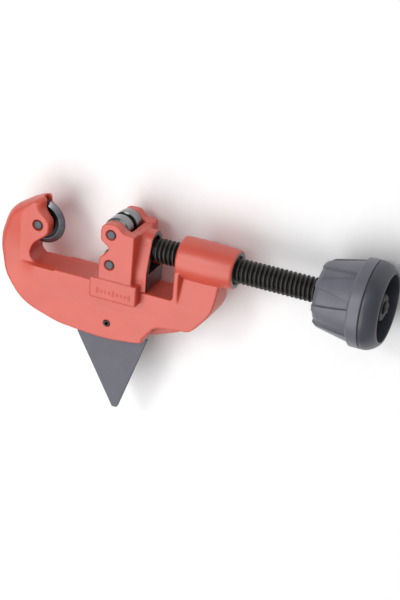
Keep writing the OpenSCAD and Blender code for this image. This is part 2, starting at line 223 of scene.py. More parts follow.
def turned_metal(name, colour, centre, axis, roughness=(0.22, 0.36), inside=0.0, groove=0.0):
    """Steel with tool marks running round an axis, near black within a radius and in a groove about the
    middle: painted shade.
    """
    per_metre = 6500
    made, tree, surface, where = shader(name, {"Metallic": 0.9})
    radius, along = turned(tree, where, centre, axis)
    rings = add(tree, "ShaderNodeCombineXYZ", {0: times(tree, radius, per_metre),
        1: times(tree, along, per_metre), 2: 0.0})
    lines = noise(tree, rings.outputs[0], 1.0, 4, 0.7)
    patches = noise(tree, where, 260, 3)
    mixed = plus(tree, times(tree, lines, 0.6), times(tree, patches, 0.4))
    base = ramp(tree, mixed, [(0.35, tint(colour, 0.8)), (0.65, tint(colour, 1.18))])
    height = add(tree, "ShaderNodeMath", {0: along}, operation="ABSOLUTE").outputs[0]
    # Within the radius and the middle groove the colour turns near black: painted shade
    unshaded_share = times(tree, grey(tree, radius, 0.0, 1.0, inside * MM - 0.0002, inside * MM + 0.0001),
        grey(tree, height, 0.0, 1.0, groove * MM - 0.0001, groove * MM + 0.0002))
    painted_shade_black = (0.012, 0.012, 0.013, 1)
    tree.links.new(blend(tree, unshaded_share, painted_shade_black, base), surface.inputs["Base Color"])
    tree.links.new(grey(tree, mixed, *roughness, 0.35, 0.65), surface.inputs["Roughness"])
    tree.links.new(bump(tree, lines, 0.000006), surface.inputs["Normal"])
    return made


def blasted_metal(name, colour, roughness, metallic=1.0):
    """Bead-blasted or ground steel with a fine even grain and faint stains."""
    made, tree, surface, where = shader(name, {"Metallic": metallic})
    fine = noise(tree, where, 2400, 3, 0.7)
    stain = noise(tree, where, 140, 4, 0.6)
    mixed = plus(tree, times(tree, fine, 0.5), times(tree, stain, 0.5))
    base = ramp(tree, mixed, [(0.38, tint(colour, 0.86)), (0.62, tint(colour, 1.12))])
    sheen = grey(tree, mixed, roughness - 0.06, roughness + 0.06, 0.35, 0.65)
    tree.links.new(base, surface.inputs["Base Color"])
    tree.links.new(sheen, surface.inputs["Roughness"])
    tree.links.new(bump(tree, fine, 0.00001), surface.inputs["Normal"])
    return made


def black_oxide(name):
    """Blackened screw steel with bright worn crests."""
    made, tree, surface, where = shader(name, {"Metallic": 0.35, "Specular IOR Level": 0.5})
    radius, _ = turned(tree, where, AXLE, 0)
    crest = grey(tree, radius, 0.0, 1.0, (SCREW_R - 0.45) * MM, (SCREW_R - 0.02) * MM)
    fine = noise(tree, where, 1300, 4, 0.65)
    rub = times(tree, crest, grey(tree, fine, 0.25, 1.0, 0.35, 0.7))
    base = ramp(tree, rub, [(0.0, (0.010, 0.009, 0.008)), (1.0, (0.060, 0.054, 0.049))])
    tree.links.new(base, surface.inputs["Base Color"])
    tree.links.new(grey(tree, fine, 0.36, 0.55), surface.inputs["Roughness"])
    tree.links.new(bump(tree, fine, 0.000012), surface.inputs["Normal"])
    return made


def nylon(name, colour, roughness):
    """Moulded glass-filled nylon: a fine spark-eroded grain, and slight flow marks."""
    made, tree, surface, where = shader(name, {"Specular IOR Level": 0.5})
    grain = noise(tree, where, 2600, 3, 0.65)
    flow = noise(tree, where, 90, 3)
    mixed = plus(tree, times(tree, grain, 0.35), times(tree, flow, 0.65))
    base = ramp(tree, mixed, [(0.36, tint(colour, 0.88)), (0.64, tint(colour, 1.12))])
    sheen = grey(tree, grain, roughness - 0.05, roughness + 0.07, 0.3, 0.7)
    tree.links.new(base, surface.inputs["Base Color"])
    tree.links.new(sheen, surface.inputs["Roughness"])
    tree.links.new(bump(tree, grain, 0.000018), surface.inputs["Normal"])
    return made


def floor_paper(name):
    """Plain pale paper of the studio floor."""
    made, tree, surface, where = shader(name, {"Roughness": 0.9})
    fine = noise(tree, where, 220, 3)
    base = ramp(tree, fine, [(0.3, (0.95, 0.95, 0.95)), (0.7, (0.97, 0.97, 0.97))])
    tree.links.new(base, surface.inputs["Base Color"])
    return made


# ---- Mesh helpers --------------------------------------------------------------------------------
def settle(name, mesh, materials, body, node):
    """The mesh as an object which rides on a body and stands for a CAD node."""
    made = bpy.data.objects.new(name, mesh)
    bpy.context.scene.collection.objects.link(made)
    for one in materials:
        mesh.materials.append(one)
    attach(made, body)
    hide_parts(node)
    return made


def piece(name, points, faces, materials, body, node, sharp=35):
    """A piece from points in millimetres, its edges crisp where they bend more than sharp degrees."""
    mesh = bpy.data.meshes.new(name)
    placed = np.asarray(points, float) * MM + np.array(AXLE)
    mesh.from_pydata(placed.tolist(), [], [list(map(int, f)) for f in faces])
    mesh.validate()
    mesh.shade_smooth()
    mesh.set_sharp_from_angle(angle=math.radians(sharp))
    return recalc(settle(name, mesh, materials, body, node))


def arc(a, b, c, r, n=5):
    """Points of the arc that rounds the corner b between a and c by r, or by less where a side is short."""
    a, b, c = (np.asarray(p[:2], float) for p in (a, b, c))
    la, lc = np.linalg.norm(a - b), np.linalg.norm(c - b)
    u, w = (a - b) / la, (c - b) / lc
    half = math.acos(max(-1.0, min(1.0, float(u @ w)))) / 2
    r = min(r, 0.48 * min(la, lc) * math.tan(half))
    middle = b + (u + w) / np.linalg.norm(u + w) * r / math.sin(half)
    start, end = b + u * r / math.tan(half) - middle, b + w * r / math.tan(half) - middle
    a0 = math.atan2(start[1], start[0])
    turn = (math.atan2(end[1], end[0]) - a0 + math.pi) % (2 * math.pi) - math.pi
    return [tuple(middle + r * np.array([math.cos(a0 + turn * i / n), math.sin(a0 + turn * i / n)]))
        for i in range(n + 1)]


def rounded(corners, closed=True, n=5):
    """Outline from corners (a, b, radius); a corner with no radius stays sharp."""
    made, count = [], len(corners)
    for i, p in enumerate(corners):
        ends = not closed and i in (0, count - 1)
        if len(p) > 2 and p[2] > 0 and not ends:
            made += arc(corners[i - 1], p, corners[(i + 1) % count], p[2], n)
        else:
            made.append((p[0], p[1]))
    return made


def turn_mesh(profile, axis, centre, segments):
    """Points and faces of a solid of revolution from a closed profile of (radius, place along the axis)."""
    points, rings = [], []
    side = [i for i in range(3) if i != axis]
    for r, along in profile:
        count = 1 if r < 1e-6 else segments
        rings.append((len(points), count))
        for s in range(count):
            angle = 2 * math.pi * s / segments
            p = [0.0, 0.0, 0.0]
            p[axis] = along
            p[side[0]], p[side[1]] = r * math.cos(angle), r * math.sin(angle)
            points.append([p[k] + centre[k] for k in range(3)])
    faces = []
    for (a, na), (b, nb) in zip(rings, rings[1:] + rings[:1]):
        if na == 1 and nb == 1:
            continue
        for s in range(segments):
            t = (s + 1) % segments
            quad = [a + s % na, a + t % na, b + t % nb, b + s % nb]
            faces.append(list(dict.fromkeys(quad)))
    return points, faces


def recalc(obj):
    """Faces turned to look outwards, and doubled points merged."""
    work = bmesh.new()
    work.from_mesh(obj.data)
    bmesh.ops.remove_doubles(work, verts=work.verts, dist=1e-8)
    bmesh.ops.dissolve_degenerate(work, edges=work.edges, dist=1e-8)
    bmesh.ops.recalc_face_normals(work, faces=work.faces)
    work.to_mesh(obj.data)
    work.free()
    return obj


def turned_piece(name, corners, axis, centre, material, body, node, segments=96, sharp=35):
    """A turned piece from the corners (radius, place along the axis, rounding) of its section."""
    points, faces = turn_mesh(rounded(corners, n=3), axis, centre, segments)
    return piece(name, points, faces, [material], body, node, sharp)


# ---- Castings as distance fields -----------------------------------------------------------------
class Block:
    """A grid of sample points over a box, on which a casting's distance field is worked out."""

    def __init__(self, lo, hi, step):
        self.lo, self.step = np.array(lo, float), step
        counts = [int(math.ceil((h - l) / step)) + 1 for l, h in zip(lo, hi)]
        axes = [lo[i] + step * np.arange(counts[i]) for i in range(3)]
        self.x, self.y, self.z = axes[0][:, None, None], axes[1][None, :, None], axes[2][None, None, :]

    def outline(self, points, across="xy"):
        """Signed distance to a closed outline in the XY or the ZY plane, negative inside."""
        u, v = (self.x, self.y) if across == "xy" else (self.z, self.y)
        u, v = np.broadcast_arrays(u, v)
        best = np.full(u.shape, 1e9)
        inside = np.zeros(u.shape, bool)
        for (ax, ay), (bx, by) in zip(points, points[1:] + points[:1]):
            ex, ey = bx - ax, by - ay
            share = np.clip(((u - ax) * ex + (v - ay) * ey) / (ex * ex + ey * ey + 1e-12), 0, 1)
            best = np.minimum(best, (u - ax - share * ex) ** 2 + (v - ay - share * ey) ** 2)
            if ay != by:
                inside ^= ((ay > v) != (by > v)) & (u < ax + (v - ay) * ex / (by - ay))
        return np.where(inside, -1, 1) * np.sqrt(best)

    def box(self, lo, hi, r=0.0):
        """Distance to a box whose edges have radius r."""
        q = [np.abs(a - (l + h) / 2) - (h - l) / 2 + r for a, l, h in zip((self.x, self.y, self.z), lo, hi)]
        q = np.broadcast_arrays(*q)
        outside = np.sqrt(sum(np.maximum(a, 0) ** 2 for a in q))
        return outside + np.minimum(np.maximum(np.maximum(q[0], q[1]), q[2]), 0) - r

    def rod(self, x, y, r):
        return np.sqrt((self.x - x) ** 2 + (self.y - y) ** 2) - r

    def tube(self, radius):
        """Distance to a round form about the screw's axis; radius may change along it."""
        return np.sqrt(self.y ** 2 + self.z ** 2) - radius

    @staticmethod
    def sample(field, at):
        """The field between its grid points, blended from the eight around each place."""
        top = np.array(field.shape) - 2
        cell = np.clip(np.floor(at).astype(int), 0, top)
        t = at - cell
        value = 0.0
        for corner in np.ndindex(2, 2, 2):
            weight = np.prod(np.where(corner, t, 1 - t), axis=1)
            value = value + weight * field[tuple((cell + corner).T)]
        return value

    def on_level(self, field, at):
        """Places in grid steps, pulled onto the zero level so that shallow slopes show no terraces."""
        reach = 0.75
        slope = np.stack([self.sample(field, at + reach * e) - self.sample(field, at - reach * e)
            for e in np.eye(3)], 1) / (2 * reach)
        size = np.maximum((slope ** 2).sum(1, keepdims=True), 1e-6)
        move = self.sample(field, at)[:, None] * slope / size
        return at - np.clip(move, -0.4, 0.4)

    def mesh(self, field):
        """Quads on the field's zero level: one point in each cell that it crosses (surface nets)."""
        inside = field < 0
        shape = tuple(n - 1 for n in field.shape)
        count = np.zeros(shape, np.int8)
        for dx, dy, dz in np.ndindex(2, 2, 2):
            count += inside[dx:shape[0] + dx, dy:shape[1] + dy, dz:shape[2] + dz]
        cells = np.argwhere((count > 0) & (count < 8))
        number = np.full(shape, -1, np.int64)
        number[tuple(cells.T)] = np.arange(len(cells))
        total, hits = np.zeros((len(cells), 3)), np.zeros(len(cells))
        for axis, p, q in np.ndindex(3, 2, 2):
            a = cells.copy()
            a[:, (axis + 1) % 3] += p
            a[:, (axis + 2) % 3] += q
            b = a.copy()
            b[:, axis] += 1
            fa, fb = field[tuple(a.T)], field[tuple(b.T)]
            cross = (fa < 0) != (fb < 0)
            share = np.where(cross, fa / np.where(cross, fa - fb, 1), 0)
            at = a.astype(float)
            at[:, axis] += share
            total[cross] += at[cross]
            hits += cross
        points = self.lo + self.step * self.on_level(field, total / hits[:, None])
        faces = []
        for axis in range(3):
            u, v = (axis + 1) % 3, (axis + 2) % 3
            low = [slice(None)] * 3
            high = [slice(None)] * 3
            low[axis], high[axis] = slice(None, -1), slice(1, None)
            change = inside[tuple(low)] != inside[tuple(high)]
            edges = np.argwhere(change)
            inner = (edges > 0) & (edges < np.array(shape))
            edges = edges[inner[:, u] & inner[:, v]]
            corners = []
            for du, dv in ((-1, -1), (0, -1), (0, 0), (-1, 0)):
                cell = edges.copy()
                cell[:, u] += du
                cell[:, v] += dv
                corners.append(number[tuple(cell.T)])
            quads = np.stack(corners, 1)
            flip = ~inside[tuple(edges.T)]
            quads[flip] = quads[flip][:, ::-1]
            faces.append(quads)
        return points, np.concatenate(faces)


def step_up(value, start, end):
    """0 before start, 1 after end, and a smooth rise between them."""
    t = np.clip((value - start) / (end - start), 0, 1)
    return t * t * (3 - 2 * t)


def join(a, b, k):
    """Union of two fields with a fillet of about k."""
    h = np.maximum(k - np.abs(a - b), 0) / k
    return np.minimum(a, b) - h * h * k / 4


def both(a, b, k):
    """Intersection of two fields with edges rounded by about k."""
    return -join(-a, -b, k)


def cut(a, b, k=0.35):
    """a without b, its edges rounded by about k."""
    return both(a, -b, k)


def casting(name, block, field, materials, body, node):
    """A piece from a field's zero level."""
    points, faces = block.mesh(field)
    placed = points * MM + np.array(AXLE)
    mesh = bpy.data.meshes.new(name)
    mesh.vertices.add(len(placed))
    mesh.vertices.foreach_set("co", placed.astype(np.float32).ravel())
    mesh.loops.add(faces.size)
    mesh.loops.foreach_set("vertex_index", faces.astype(np.int32).ravel())
    mesh.polygons.add(len(faces))
    mesh.polygons.foreach_set("loop_start", np.arange(0, faces.size, 4, dtype=np.int32))
    mesh.update(calc_edges=True)
    mesh.validate()
    mesh.shade_smooth()
    return settle(name, mesh, materials, body, node)


def paint_faces(obj, index, chosen):
    """Gives faces another of the piece's materials: chosen(x, y, z, normals) says which, in millimetres."""
    count = len(obj.data.polygons)
    centres, normals = np.zeros(count * 3), np.zeros(count * 3)
    obj.data.polygons.foreach_get("center", centres)
    obj.data.polygons.foreach_get("normal", normals)
    centres = (centres.reshape(-1, 3) - np.array(AXLE)) / MM
    which = chosen(*centres.T, normals.reshape(-1, 3))
    now = np.zeros(count, np.int32)
    obj.data.polygons.foreach_get("material_index", now)
    obj.data.polygons.foreach_set("material_index", np.where(which, index, now).astype(np.int32))


# ---- Frame ---------------------------------------------------------------------------------------
# Corners (x, y, radius) of the side view, which run counter-clockwise from the hook's back
BELLY = [(HOOK_X0, -9, 18), (HOOK_X0, -15, 16), (-16.6, -26.6, 16), (-4.4, -38.6, 30), (13, -43.7, 40),
    (36, -45.3, 60), (53, -43.4, 30), (68.2, -37.5, 20), (78.6, -29.6, 14), (86.2, -20.2, 14),
    (WEB_X1, -12, 10)]
THROAT = [(-1, RAIL_Y, 2), (-3.8, -15, 5), (-2.3, -9.4, 8)]
HOOK_FACE = [(5.2, -3.4, 4.5), (5.8, 2.4, 4.5), (0.2, 7.0, 4), (-0.9, 9.9, 1.0), (-2.9, 10.6, 1.0)]
HOOK_CORE = [(5.6, -3.6, 4.5), (6.2, 2.6, 4.5), (2.2, 7.2, 4), (2.6, 11.2, 0.8), (1.2, 13.2, 1.2)]
HOOK_BACK = [(-6.6, 9.8, 10), (-16.2, 3.6, 16)]


def frame_width(block):
    """Half the casting's width at each place: narrow hook, wide rail, a step along the flank, a thin web."""
    x, y = np.broadcast_arrays(block.x, block.y)
    below_step = step_up(-y, -STEP_Y, -STEP_Y + 0.6) * step_up(x, 0, 26) * (1 - step_up(x, 46, 66))
    flank = RAIL_HALF + 0.45 * (FLANK_HALF - RAIL_HALF) * below_step
    # Left of a soft crease beside the axle the hook's cheeks fall away towards its back
    crease = -8.4 + 0.04 * np.clip(y, 0, None) ** 2
    fall = 0.2 * np.clip(crease - x, 0, None) * step_up(y, -24, -4)
    hook = HOOK_HALF - fall + (flank - HOOK_HALF) * step_up(-y, 12, 31) * step_up(-y - 0.5 * x, 12, 26)
    near_rail = HOOK_HALF + 0.5 + (flank - HOOK_HALF - 0.5) * step_up(-y, 18.1, 18.9)
    hook = hook + (near_rail - hook) * step_up(x, -9, 1)
    wide = step_up(x, 9.5, 10.3)
    web_half = 4.8
    web = RAIL_HALF - (RAIL_HALF - web_half) * np.clip((y + 19.5) / 13, 0, 1)
    body = hook + (flank - hook) * wide
    return body + (np.minimum(body, web) - body) * step_up(x, WEB_X0 + 2.2, WEB_X0 + 3.2)


def frame_field(block):
    """Distance field of the C-frame: hook, rail, web and boss, with its slots and holes cut out."""
    x, y, z = block.x, block.y, block.z
    side = np.abs(z)
    wheel_gap, side_gap, blade_slot_half = 0.45, 0.2, 1.35
    rest = BELLY + [(WEB_X1, -5), (WEB_X0, -5), (WEB_X0, RAIL_Y, 1.5)] + THROAT
    width = frame_width(block)
    # The cheeks slope out from their flat faces to a larger contour beside the wheel's slot
    face = block.outline(rounded(rest + HOOK_FACE + HOOK_BACK))
    core = block.outline(rounded(rest + HOOK_CORE + HOOK_BACK))
    slope = np.sqrt(np.clip((HOOK_HALF - side) / (HOOK_HALF - 1.6), 0, 1))
    contour = face + (core - face) * slope
    plate = both(contour, side - width, 0.9)
    # The hook's back rounds off to a ridge on the mid-plane; further on only a slight draft is left
    outer = rounded([(WEB_X1, 60), (16, 28), (1.6, 13.4)] + HOOK_BACK + BELLY)
    to_back = block.outline(outer)
    reach = 0.7 + 4.8 * step_up(-x - 0.35 * y, -7, 11) * step_up(y, -38, -20)
    inset = np.maximum(to_back + reach, 0) / reach
    girth = width + 0.8
    size = np.sqrt(inset ** 2 + (side / girth) ** 2) + 1e-6
    steep = np.sqrt((inset / reach) ** 2 + (side / girth ** 2) ** 2) / size + 1e-3
    ridge = (size - 1) / steep
    plate = both(plate, ridge, 0.6)
    along = (x - WEB_X0) / (BOSS_X1 - WEB_X0)
    barrel = BOSS_R - 0.15 - 2.1 * np.clip(along - 0.36, 0, 1) ** 2.2 - 0.6 * np.clip(0.36 - along, 0, 1) ** 2
    boss = both(block.tube(barrel), np.abs(x - (WEB_X0 + BOSS_X1) / 2) - (BOSS_X1 - WEB_X0) / 2, 1.2)
    body = join(plate, boss, 0.9)
    # Faint parting ridge where the two halves of the die met, along the rail's top and the boss
    body = body - 0.10 * np.exp(-(z / 0.3) ** 2) * step_up(y, -21, -18.6) * step_up(x, 3, 8)
    slot_half = WHEEL_HALF + side_gap
    slot = np.maximum(block.rod(0, 0, WHEEL_R + wheel_gap), side - slot_half)
    mouth = block.box((0, -13.5, -slot_half), (16, 15, slot_half))
    body = cut(body, np.minimum(slot, mouth), 0.5)
    # Axle hole, countersunk in front and counterbored behind
    body = cut(body, block.rod(0, 0, BORE_R), 0.1)
    body = cut(body, np.maximum(block.rod(0, 0, 2.55), HOOK_HALF - 0.75 - z), 0.3)
    body = cut(body, np.maximum(block.rod(0, 0, 3.3), z + HOOK_HALF - 1.2), 0.3)
    # Screw's bore with a wide lead-in at the knob's end
    lead = SCREW_R + 0.1 + np.clip(x - BOSS_X1 + 1.1, 0, 1.2) + np.clip(WEB_X0 + 1 - x, 0, 1.2)
    body = cut(body, np.maximum(block.tube(lead), WEB_X0 - 2 - x), 0.15)
    # Reamer's slot, pivot hole and thumb scoop
    slot_top = RAIL_Y - 2
    slot_end = slot_top - 7.1
    folded = rounded([(17.5, -50), (17.5, -34, 6), (26, slot_top, 6), (50, slot_top, 4), (85, slot_end),
        (96, slot_end), (96, -50)])
    body = cut(body, np.maximum(block.outline(folded), side - blade_slot_half), 0.35)
    body = cut(body, block.rod(PIVOT_X, PIVOT_Y, 1.62), 0.2)
    scoop = rounded([(54.8, -52), (54.8, -40.6, 1), (60, -33.4, 5), (66, -32.4, 8), (75.6, -31.2), (80, -38),
        (80, -52)])
    return cut(body, np.maximum(block.outline(scoop), -z), 0.8)


def build_frame():
    """The frame's casting, with a machined face round the screw and painted shade in its bore."""
    room, step = 1.5, 0.42
    block = Block((HOOK_X0 - room, -47, -FLANK_HALF - room), (BOSS_X1 + room, 14.5, FLANK_HALF + room), step)
    made = casting("frame_casting", block, frame_field(block), [RED, BARE_ZINC, PAINTED_SHADE_DARK], "frame",
        "frame_body")

    def end_face(x, y, z, normals):
        return (x > BOSS_X1 - 0.5) & (normals[:, 0] > 0.8) & (np.hypot(y, z) < BOSS_R - 1.5)

    def bore(x, y, z, normals):
        return (np.hypot(y, z) < SCREW_R + 0.9) & (x > WEB_X0 - 1) & (x < BOSS_X1 - 0.3)

    paint_faces(made, 1, end_face)
    # The bore is painted near black: painted shade inside the hole
    paint_faces(made, 2, bore)


# ---- Carriage ------------------------------------------------------------------------------------
CROWN_R = 5.5
CROWN_Y = 3.2
WALL_X1 = 50.8


def carriage_field(block):
    """Distance field of the slide: cheeks with ears, foot over the rail, collar and the scale's ticks."""
    x, y, z = block.x, block.y, block.z
    side = np.abs(z)
    foot_top, deck = -14.1, RAIL_Y + 0.25
    cheek_x0, cheek_x1, pocket_x1 = 33.4, 49.5, 45.4
    ear = [(cheek_x0, foot_top - 1), (cheek_x0, -4.6, 3), (36.2, -2.2, 1.5), (38.2, 0.6, 1.2),
        (33.6, 3.8, 2.6), (cheek_x0, 11.8, 4.6), (41, CHEEK_TOP, 3.6), (44.4, 8.9, 3),
        (cheek_x1, 8.6, 0.8), (cheek_x1, foot_top - 1)]
    profile = block.outline(rounded(ear))
    pocket_half = ROLLER_HALF + 0.25
    upper = both(profile, side - CHEEK_HALF, 0.7)
    pocket = np.maximum(side - pocket_half, x - pocket_x1)
    low_wall = np.maximum(np.maximum(side - pocket_half, 8.0 - y), x - cheek_x1 - 2)
    upper = cut(upper, np.minimum(pocket, low_wall), 0.5)
    foot = block.box((FOOT_X0, SKIRT_Y0, -SKIRT_HALF), (52.4, foot_top, SKIRT_HALF), 0.9)
    body = join(upper, foot, 0.9)
    # Tent arch of the collar, straight legs and a round crown
    leg = 8.8
    lean = math.atan2(leg - CROWN_R, CROWN_Y + 9)
    over, up = side - CROWN_R * math.cos(lean), y - CROWN_Y - CROWN_R * math.sin(lean)
    sides = over * math.cos(lean) + up * math.sin(lean)
    crown = np.sqrt(z ** 2 + (y - CROWN_Y) ** 2) - CROWN_R
    arch = np.where(y > CROWN_Y, crown, np.maximum(sides, side - leg))
    swell = 0.5 * np.exp(-((x - cheek_x1) / 1.6) ** 2)
    collar = both(arch - swell, np.maximum(x - COLLAR_X1, cheek_x1 - 2 - x), 0.5)
    collar = both(collar, deck - y, 0.3)
    body = join(body, collar, 1.2)
    wall, spread = 2.3, (leg - CROWN_R) * np.clip((CROWN_Y - y) / 12, 0, 1)
    inner = np.where(y > CROWN_Y, crown + wall, side - CROWN_R + wall - spread)
    hollow = np.minimum(block.tube(5.15), np.maximum(inner, -10 - y))
    body = cut(body, np.maximum(hollow, WALL_X1 - x), 0.3)
    # Room over the rail between the skirts
    under = np.maximum(np.maximum(side - RAIL_HALF - 0.3, y - deck), SKIRT_Y0 - 2 - y)
    body = cut(body, under, 0.3)
    body = cut(body, block.tube(3.25), 0.1)
    body = cut(body, np.maximum(block.tube(4.8), x - pocket_x1 - 2.1), 0.1)
    for pin_y in (-ROLLER_Y, ROLLER_Y):
        body = cut(body, block.rod(ROLLER_X, pin_y, 2.03), 0.05)
        body = cut(body, np.maximum(block.rod(ROLLER_X, pin_y, 2.42), CHEEK_HALF - 0.6 - side), 0.15)
    # Plain raised tick marks on the skirt, a generic scale
    ticks = np.full(np.broadcast_shapes(x.shape, y.shape, z.shape), 1e3)
    tick_y, gap, wide, proud = -19.6, 1.9, 0.55, 0.25
    for i in range(9):
        tall = 1.5 if i % 4 else 2.6
        at = FOOT_X0 + 4 + gap * i
        tick = block.box((at, tick_y - tall / 2, SKIRT_HALF - 1),
            (at + wide, tick_y + tall / 2, SKIRT_HALF + proud), 0.1)
        ticks = np.minimum(ticks, tick)
    return join(body, ticks, 0.15)


def build_carriage():
    """The slide's casting, with a machined end to its collar and painted shade in the hollow inside."""
    room, step = 1.2, 0.33
    lo = (FOOT_X0 - room, SKIRT_Y0 - room, -SKIRT_HALF - room)
    block = Block(lo, (COLLAR_X1 + room, CHEEK_TOP + room, SKIRT_HALF + room), step)
    made = casting("carriage_casting", block, carriage_field(block), [RED_SLIDE, BARE_ZINC, PAINTED_SHADE_DARK],
        "carriage", "carriage")

    def end_face(x, y, z, normals):
        return (x > COLLAR_X1 - 0.2) & (normals[:, 0] > 0.85)

    def hollow(x, y, z, normals):
        under_crown = np.hypot(z, y - CROWN_Y) < 3.8
        between_legs = np.abs(z) < 3.6 + 0.27 * (CROWN_Y - y)
        deep = (x > 50) & (x < min(COLLAR_X1 - 0.3, WALL_X1 + 3.6))
        inside = deep & (y > -10.2) & (y < 6.2) & (np.abs(z) < 6.4)
        return inside & np.where(y > CROWN_Y, under_crown, between_legs)

    paint_faces(made, 1, end_face)
    # The collar's hollow is painted near black: painted shade inside it
    paint_faces(made, 2, hollow)


# ---- Wheel, rollers and pins ---------------------------------------------------------------------
def mirrored(lower):
    """A whole section from its lower half, whose corners come again on the other side of the middle."""
    return lower + [(corner[0], -corner[1], *corner[2:]) for corner in reversed(lower)]


def build_wheel():
    """Cutting wheel: hub, thin web, and a raised ring that slopes down to a keen edge."""
    rim = WHEEL_R
    section = mirrored([(BORE_R, -WHEEL_HALF), (4.2, -WHEEL_HALF, 0.1), (4.6, -WHEEL_HALF + 0.5, 0.2),
        (7.5, -0.8, 0.2), (7.8, -1.3, 0.1), (8.0, -1.3, 0.1), (rim - 0.4, -0.28), (rim, -0.02)])
    turned_piece("wheel_disc", section, 2, (0, 0, 0), WHEEL_STEEL, "wheel", "cutting_wheel",
        segments=128)


def build_rollers():
    """Two rollers with chamfered ends and a flare groove about the middle."""
    half, r, deep = ROLLER_HALF, ROLLER_R, ROLLER_R - 0.9
    section = mirrored([(BORE_R, -half), (deep, -half, 0.2), (r, -half + 0.7, 0.4), (r, -1.5, 0.15),
        (deep, -1.2, 0.15)])
    for which, y, metal in (("upper", ROLLER_Y, UPPER_STEEL), ("lower", -ROLLER_Y, LOWER_STEEL)):
        name = "roller_" + which
        turned_piece(name + "_turned", section, 2, (ROLLER_X, y, 0), metal, which + "_roller",
            name)


def build_pins():
    """Two roller pins with chamfered ends, slightly dished in front."""
    face, r, chamfer = CHEEK_HALF - 0.05, 2.0, 0.4
    section = [(0, -face), (r - chamfer, -face, 0.2), (r, -face + chamfer, 0.2), (r, face - chamfer, 0.2),
        (r - chamfer, face, 0.2), (0.5, face - 0.06), (0, face - 0.06)]
    for name, y in (("roller_pin_upper", ROLLER_Y), ("roller_pin_lower", -ROLLER_Y)):
        turned_piece(name + "_ground", section, 2, (ROLLER_X, y, 0), PIN_STEEL, "carriage",
            name, segments=48)


# ---- Feed screw ----------------------------------------------------------------------------------
def build_spindle():
    """One closed surface: turned nose and shoulder, a helical trapezoidal thread, and the knob's shaft."""
    depth, segments, per = 1.15, 64, 14
    root = SCREW_R - depth
    nose_r, journal_r, shoulder_r, shaft_r, tapped_r = 2.8, 3.2, 4.4, 3.5, 1.5
    groove_r, groove_x0, groove_x1, shoulder_x = 2.6, 46.05, 46.95, 51.85
    thread_x0, thread_x1 = 55.2, KNOB_X0 - 0.4
    shape = [0, 0.10, 0.85, 1, 1, 0.85, 0.10, 0]
    places = np.linspace(0, 1, len(shape))
    rows = int((thread_x1 - thread_x0 + PITCH) / PITCH * per) + 2
    before = [(0, NOSE_X0), (nose_r - 0.2, NOSE_X0), (nose_r, NOSE_X0 + 0.2), (nose_r, groove_x0),
        (groove_r, groove_x0), (groove_r, groove_x1), (journal_r, groove_x1), (journal_r, shoulder_x),
        (shoulder_r - 0.1, shoulder_x), (shoulder_r, shoulder_x + 0.1), (shoulder_r, thread_x0 - 0.4),
        (root, thread_x0)]
    after = [(root, thread_x1), (root, KNOB_X0), (shaft_r, KNOB_X0), (shaft_r, SHAFT_X1),
        (tapped_r, SHAFT_X1), (tapped_r, SHAFT_X1 - 8), (0, SHAFT_X1 - 8)]
    points, rings = [], []
    angles = 2 * math.pi * np.arange(segments) / segments

    def ring(radius, place):
        rings.append(len(points))
        for s, angle in enumerate(angles):
            points.append((place[s], radius[s] * math.cos(angle), radius[s] * math.sin(angle)))

    for r, x in before:
        ring(np.full(segments, r), np.full(segments, x))
    first = len(rings)
    for i in range(rows + 1):
        x = thread_x0 - PITCH + i * PITCH / per + PITCH * np.arange(segments) / segments
        height = np.interp((i / per) % 1.0, places, shape)
        starts = step_up(x, thread_x0, thread_x0 + 0.7 * PITCH)
        ends = step_up(x, thread_x1 - 0.5 * PITCH, thread_x1)
        ring(root + depth * height * starts * (1 - ends), np.clip(x, thread_x0, thread_x1))
    last = len(rings) - 1
    for r, x in after:
        ring(np.full(segments, r), np.full(segments, x))
    faces = []
    for i in range(len(rings) - 1):
        for s in range(segments):
            t = (s + 1) % segments
            lift = per if t == 0 and first <= i <= last else 0
            a = rings[i] + s
            b = rings[i + 1] + s
            c = rings[min(i + 1 + lift, last) if lift else i + 1] + t
            d = rings[min(i + lift, last) if lift else i] + t
            if lift and i == last:
                c, d = rings[i + 1] + t, rings[last] + t
            faces.append([a, d, c, b])
    piece("spindle_threaded", points, faces, [BLACK_STEEL], "screw", "spindle", 50)


